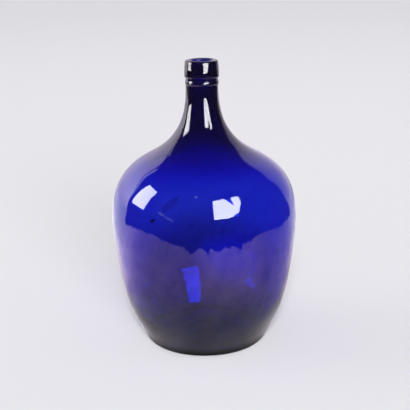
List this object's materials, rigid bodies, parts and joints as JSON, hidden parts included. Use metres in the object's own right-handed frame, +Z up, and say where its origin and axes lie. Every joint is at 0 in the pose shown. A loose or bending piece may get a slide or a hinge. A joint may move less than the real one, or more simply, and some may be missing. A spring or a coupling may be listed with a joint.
{
  "type": "glass demijohn",
  "caption": "Round-bellied demijohn of cobalt-blue blown glass: tapered body on a flat foot ring, long neck, applied collared lip and an open mouth for a cork.",
  "frame": {"origin": "middle of the foot ring, on the surface that the bottle stands on", "axes": "+Z up the bottle's axis to its mouth; X and Y are alike, because the bottle is round"},
  "size_m": [0.2585, 0.2586, 0.4],
  "materials": {
    "cobalt_glass": "fire-polished blown glass, clear and deep cobalt blue"
  },
  "bodies": {
    "root": {"blown_body": "cobalt_glass", "applied_lip": "cobalt_glass", "pontil_scar": "cobalt_glass"}
  },
  "joints": []
}
